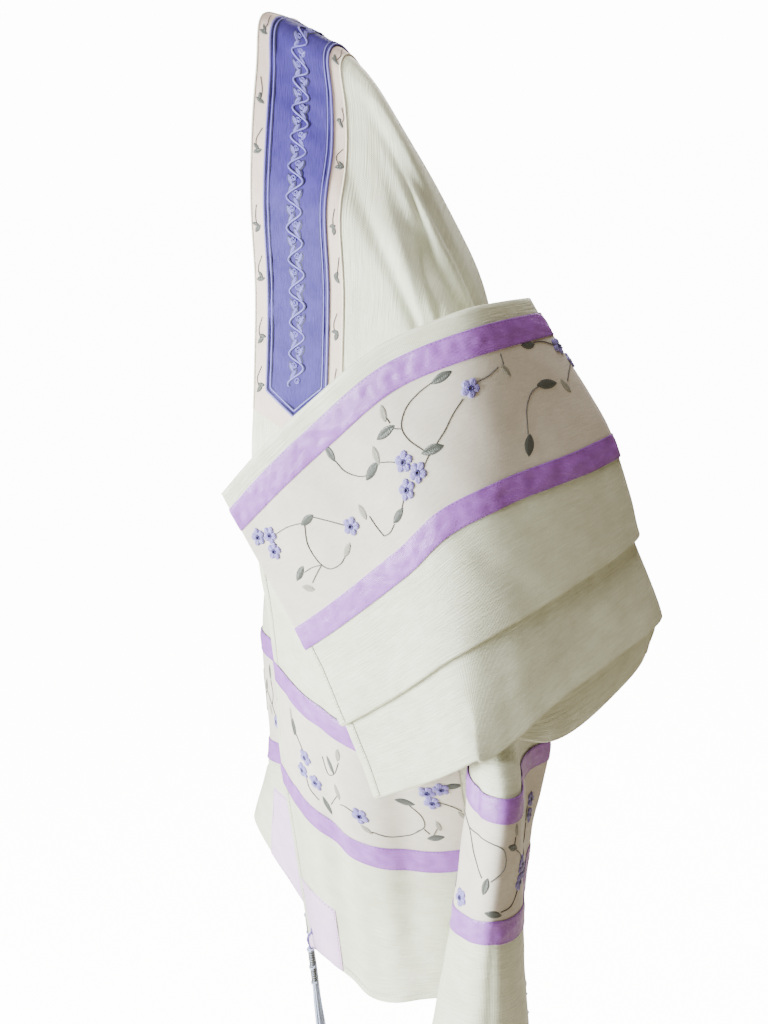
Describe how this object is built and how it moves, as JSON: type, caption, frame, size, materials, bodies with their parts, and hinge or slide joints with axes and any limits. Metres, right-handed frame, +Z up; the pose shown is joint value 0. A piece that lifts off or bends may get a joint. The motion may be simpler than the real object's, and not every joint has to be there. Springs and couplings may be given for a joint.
{
  "type": "tallit prayer shawl",
  "caption": "Worn rectangular silk prayer shawl, one end folded up over the arm, with neckband, ribbon and organza bands, corner squares and tassels",
  "frame": {"origin": "middle of the wearer's neck at the height where the shawl rests on the shoulders", "axes": "+Z up, the wearer faces -Y, and the wearer's left side is +X"},
  "size_m": [0.5409, 0.4048, 1.2609],
  "materials": {
    "silk": "pale green ivory dupion silk",
    "ribbon": "lilac satin ribbon",
    "organza": "sheer embroidered organza over silk",
    "taffeta": "purple taffeta",
    "backing": "pinkish organza with cream piping",
    "square": "pale lilac satin",
    "cord": "pale wound cord"
  },
  "bodies": {
    "root": {"silk_shoulders": "silk", "back_fall": "silk", "near_front_fall": "silk", "far_front_fall": "silk", "near_back_fall": "silk", "stack_layer_outer": "silk", "stack_layer_middle": "silk", "stack_layer_inner": "silk", "neckband_backing": "backing", "neckband": "taffeta", "stack_ribbon_top": "ribbon", "stack_organza": "organza", "stack_ribbon_bottom": "ribbon", "near_front_ribbon_upper": "ribbon", "near_front_organza": "organza", "near_front_ribbon_lower": "ribbon", "far_front_ribbon_upper": "ribbon", "far_front_organza": "organza", "far_front_ribbon_lower": "ribbon", "near_back_ribbon_upper": "ribbon", "near_back_organza": "organza", "near_back_ribbon_lower": "ribbon", "near_front_square": "square", "near_back_square": "square", "far_front_square": "square", "far_back_square": "square", "near_front_tassel": "cord", "near_back_tassel": "cord", "far_front_tassel": "cord", "far_back_tassel": "cord"}
  },
  "joints": []
}
